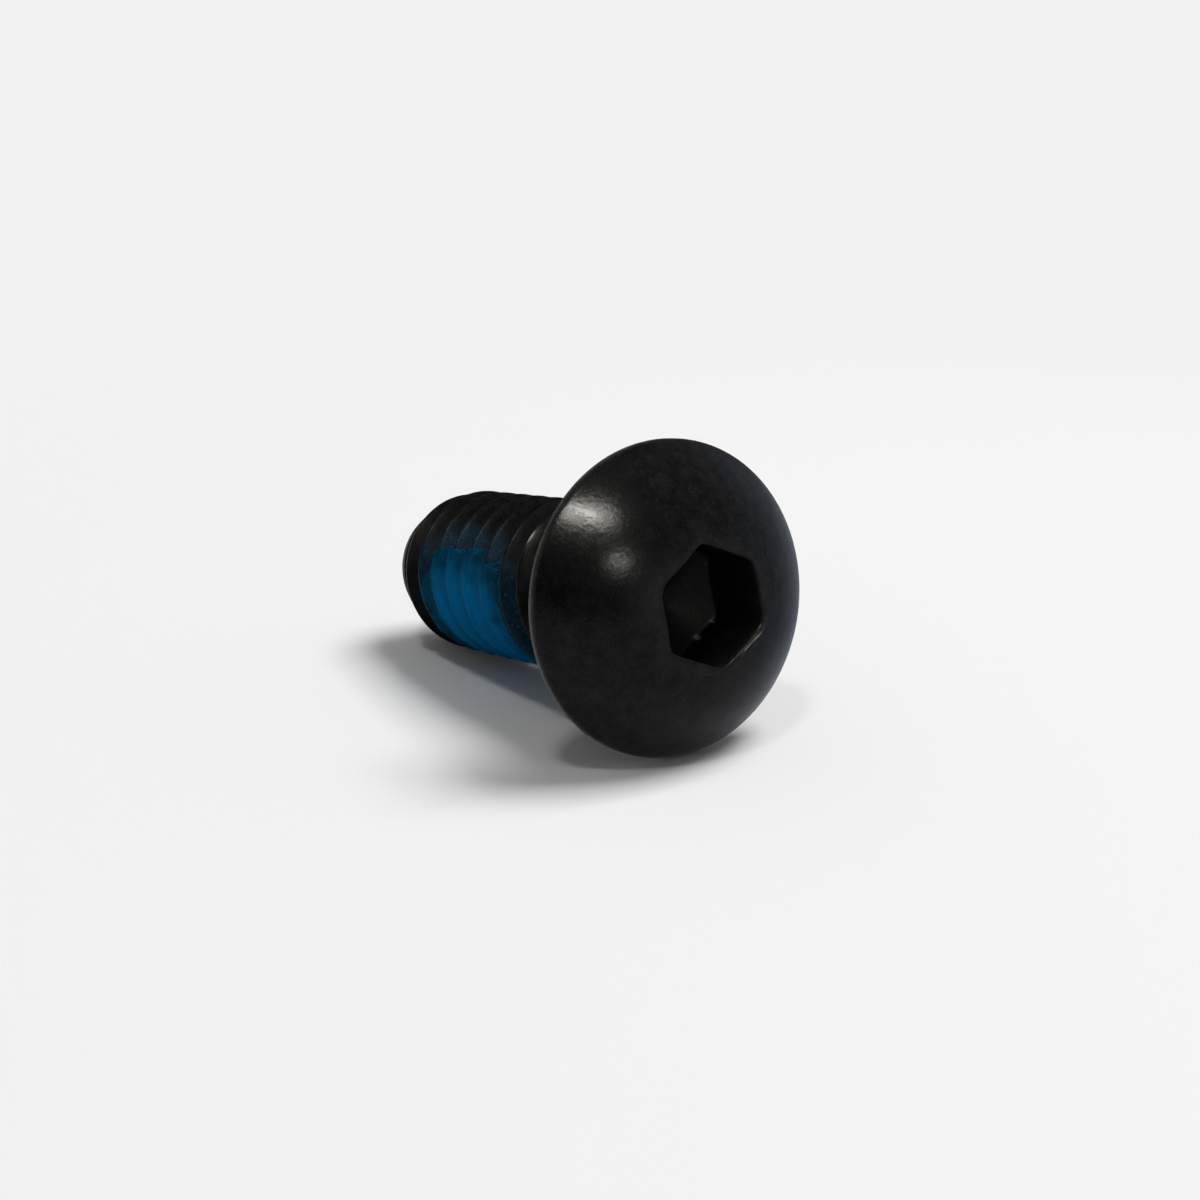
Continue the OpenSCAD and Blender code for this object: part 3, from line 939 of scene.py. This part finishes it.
def soft_box(level, name, direction, size, radiance, roll, lights, mirrored):
    """A rectangular lamp that faces the screw. Its power is the radiance of its face, scaled by level, times
    pi and its area. One that doesn't light dull surfaces is slightly warm."""
    lamp = bpy.data.lights.new(name, "AREA")
    lamp.shape = "RECTANGLE"
    lamp.size, lamp.size_y = size
    lamp.energy = radiance * level * math.pi * size[0] * size[1]
    lamp.color = (1.0, 1.0, 1.0) if lights else (1.0, 0.98, 0.90)
    made = bpy.data.objects.new(name, lamp)
    aim = Vector(direction).normalized()
    made.location = aim * LAMP_DISTANCE + Vector((0.0, 0.0, AIM_HEIGHT))
    turned = Quaternion((0.0, 0.0, 1.0), math.radians(roll))
    made.rotation_euler = (aim.to_track_quat("Z", "Y") @ turned).to_euler()
    made.visible_diffuse, made.visible_glossy, made.visible_camera = lights, mirrored, False
    bpy.context.scene.collection.objects.link(made)


class SCREW_OT_make_stage(bpy.types.Operator):
    """Make the floor, surroundings, lamps and camera"""

    bl_idname = "screw.make_stage"
    bl_label = "Make stage"

    def execute(self, context):
        scene = context.scene
        finish, stage = scene.screw_finish, scene.screw_stage
        mesh = bpy.data.meshes.new("floor")
        corners = [(-1, -1), (1, -1), (1, 1), (-1, 1)]
        mesh.from_pydata([(x * FLOOR_REACH, y * FLOOR_REACH, 0) for x, y in corners], [], [(0, 1, 2, 3)])
        mesh.materials.append(floor_material(finish, stage))
        floor = bpy.data.objects.new("floor", mesh)
        scene.collection.objects.link(floor)
        make_world(finish, stage)
        for lamp in LAMPS:
            soft_box(stage.lamp_level, *lamp)

        lens = bpy.data.cameras.new("camera")
        lens.sensor_width = SENSOR
        lens.lens = stage.focal_length
        lens.shift_y = stage.shift
        lens.clip_start, lens.clip_end = 0.002, 20.0
        camera = bpy.data.objects.new("camera", lens)
        camera.location = stage.camera_place
        camera.rotation_euler = Vector(stage.camera_aim).to_track_quat("-Z", "Y").to_euler()
        scene.collection.objects.link(camera)
        scene.camera = camera
        scene.view_settings.view_transform = "Standard"
        return {"FINISHED"}


class SCREW_PT_panel(bpy.types.Panel):
    """Sizes, finishes and buttons of the screw"""

    bl_idname = "SCREW_PT_panel"
    bl_label = "Button head screw"
    bl_space_type = "VIEW_3D"
    bl_region_type = "UI"
    bl_category = "Screw"

    def draw(self, context):
        for label, owner in SETTINGS.items():
            box = self.layout.box()
            box.label(text=owner.__doc__)
            for prop in owner.__annotations__:
                box.prop(getattr(context.scene, label), prop)
        for operator in OPERATORS:
            self.layout.operator(operator.bl_idname)


SETTINGS = {
    "screw_head": HeadSizes,
    "screw_shank": ShankSizes,
    "screw_patch": PatchSizes,
    "screw_finish": FinishColours,
    "screw_stage": StageSettings,
}
OPERATORS = (SCREW_OT_make_body, SCREW_OT_make_patch, SCREW_OT_make_stage)


def register():
    for made in (*SETTINGS.values(), *OPERATORS, SCREW_PT_panel):
        bpy.utils.register_class(made)
    for label, made in SETTINGS.items():
        setattr(bpy.types.Scene, label, bpy.props.PointerProperty(type=made))


def unregister():
    for label in SETTINGS:
        delattr(bpy.types.Scene, label)
    for made in reversed((*SETTINGS.values(), *OPERATORS, SCREW_PT_panel)):
        bpy.utils.unregister_class(made)


def main():
    register()
    bpy.ops.screw.make_body()
    bpy.ops.screw.make_patch()
    bpy.ops.screw.make_stage()


if __name__ == "__main__":
    main()
